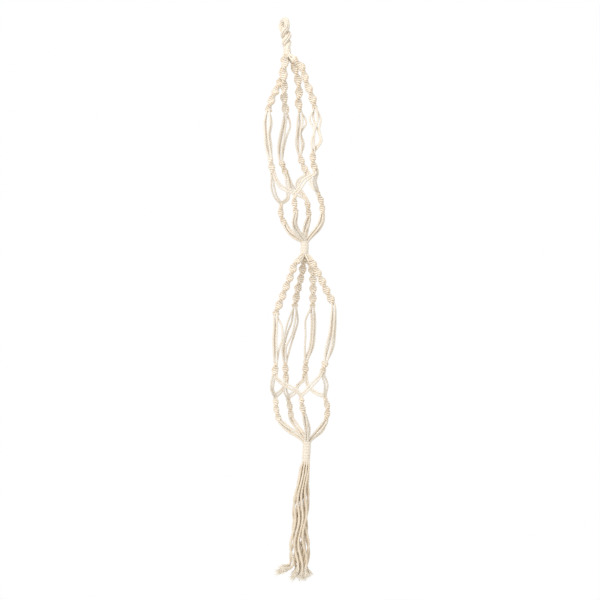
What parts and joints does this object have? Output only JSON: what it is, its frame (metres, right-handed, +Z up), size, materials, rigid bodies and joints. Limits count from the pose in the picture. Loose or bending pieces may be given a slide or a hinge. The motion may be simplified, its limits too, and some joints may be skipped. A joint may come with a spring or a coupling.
{
  "type": "hanging macrame planter",
  "caption": "Long knotted cotton cord plant hanger with a hanging loop, a pair of open cradles for pots one above the other, wrapped knots and a frayed tassel.",
  "frame": {"origin": "where the hanging loop bears on its hook, at the inside of the top of the loop's eye", "axes": "+Z up along the hanging object, +X to its right seen from the front, -Y towards the front"},
  "size_m": [0.1498, 0.1057, 1.19],
  "materials": {
    "cotton_strand": "matte twisted cotton cord, undyed cream",
    "cotton_knots": "matte twisted cotton cord in tight half knots, undyed cream",
    "cotton_wrap": "matte twisted cotton cord in close turns, undyed cream",
    "cotton_tassel": "matte cotton cord with loose frayed ends, undyed cream"
  },
  "bodies": {
    "loop": {"hanging_loop": "cotton_strand"},
    "top_wrap": {"top_wrap": "cotton_wrap"},
    "upper_tier": {"upper_front_left_sinnet": "cotton_knots", "upper_front_left_loose_strands": "cotton_strand", "upper_front_left_short_sinnet": "cotton_knots", "upper_back_left_sinnet": "cotton_knots", "upper_back_left_loose_strands": "cotton_strand", "upper_back_left_short_sinnet": "cotton_knots", "upper_back_right_sinnet": "cotton_knots", "upper_back_right_loose_strands": "cotton_strand", "upper_back_right_short_sinnet": "cotton_knots", "upper_front_right_sinnet": "cotton_knots", "upper_front_right_loose_strands": "cotton_strand", "upper_front_right_short_sinnet": "cotton_knots", "upper_left_cross_strands": "cotton_strand", "upper_left_cradle_sinnet": "cotton_knots", "upper_front_cross_strands": "cotton_strand", "upper_front_cradle_sinnet": "cotton_knots", "upper_right_cross_strands": "cotton_strand", "upper_right_cradle_sinnet": "cotton_knots", "upper_back_cross_strands": "cotton_strand", "upper_back_cradle_sinnet": "cotton_knots"},
    "middle_wrap": {"middle_wrap": "cotton_wrap"},
    "lower_tier": {"lower_front_left_sinnet": "cotton_knots", "lower_front_left_loose_strands": "cotton_strand", "lower_front_left_short_sinnet": "cotton_knots", "lower_back_left_sinnet": "cotton_knots", "lower_back_left_loose_strands": "cotton_strand", "lower_back_left_short_sinnet": "cotton_knots", "lower_back_right_sinnet": "cotton_knots", "lower_back_right_loose_strands": "cotton_strand", "lower_back_right_short_sinnet": "cotton_knots", "lower_front_right_sinnet": "cotton_knots", "lower_front_right_loose_strands": "cotton_strand", "lower_front_right_short_sinnet": "cotton_knots", "lower_left_cross_strands": "cotton_strand", "lower_left_cradle_sinnet": "cotton_knots", "lower_front_cross_strands": "cotton_strand", "lower_front_cradle_sinnet": "cotton_knots", "lower_right_cross_strands": "cotton_strand", "lower_right_cradle_sinnet": "cotton_knots", "lower_back_cross_strands": "cotton_strand", "lower_back_cradle_sinnet": "cotton_knots"},
    "bottom_wrap": {"bottom_wrap": "cotton_wrap"},
    "tassel": {"tassel_strand_01": "cotton_tassel", "tassel_strand_02": "cotton_tassel", "tassel_strand_03": "cotton_tassel", "tassel_strand_04": "cotton_tassel", "tassel_strand_05": "cotton_tassel", "tassel_strand_06": "cotton_tassel", "tassel_strand_07": "cotton_tassel", "tassel_strand_08": "cotton_tassel", "tassel_strand_09": "cotton_tassel", "tassel_strand_10": "cotton_tassel", "tassel_strand_11": "cotton_tassel", "tassel_strand_12": "cotton_tassel", "tassel_strand_13": "cotton_tassel", "tassel_strand_14": "cotton_tassel", "tassel_strand_15": "cotton_tassel", "tassel_strand_16": "cotton_tassel"}
  },
  "joints": [
    {"name": "top_side_swing", "type": "hinge", "parent": "loop", "child": "top_wrap", "pos_m": [0.00262, 0, -0.058], "axis": [0, 1, 0], "range_deg": [-25, 25]},
    {"name": "top_front_swing", "type": "hinge", "parent": "top_wrap", "child": "upper_tier", "pos_m": [0.00278, 0, -0.061], "axis": [1, 0, 0], "range_deg": [-25, 25]},
    {"name": "middle_side_swing", "type": "hinge", "parent": "upper_tier", "child": "middle_wrap", "pos_m": [0.01942, 0, -0.475], "axis": [0, 1, 0], "range_deg": [-25, 25]},
    {"name": "middle_front_swing", "type": "hinge", "parent": "middle_wrap", "child": "lower_tier", "pos_m": [0.01838, 0, -0.487], "axis": [1, 0, 0], "range_deg": [-25, 25]},
    {"name": "tassel_side_swing", "type": "hinge", "parent": "lower_tier", "child": "bottom_wrap", "pos_m": [0.00294, 0, -0.901], "axis": [0, 1, 0], "range_deg": [-30, 30]},
    {"name": "tassel_front_swing", "type": "hinge", "parent": "bottom_wrap", "child": "tassel", "pos_m": [-0.00014, 0, -0.927], "axis": [1, 0, 0], "range_deg": [-30, 30]}
  ]
}
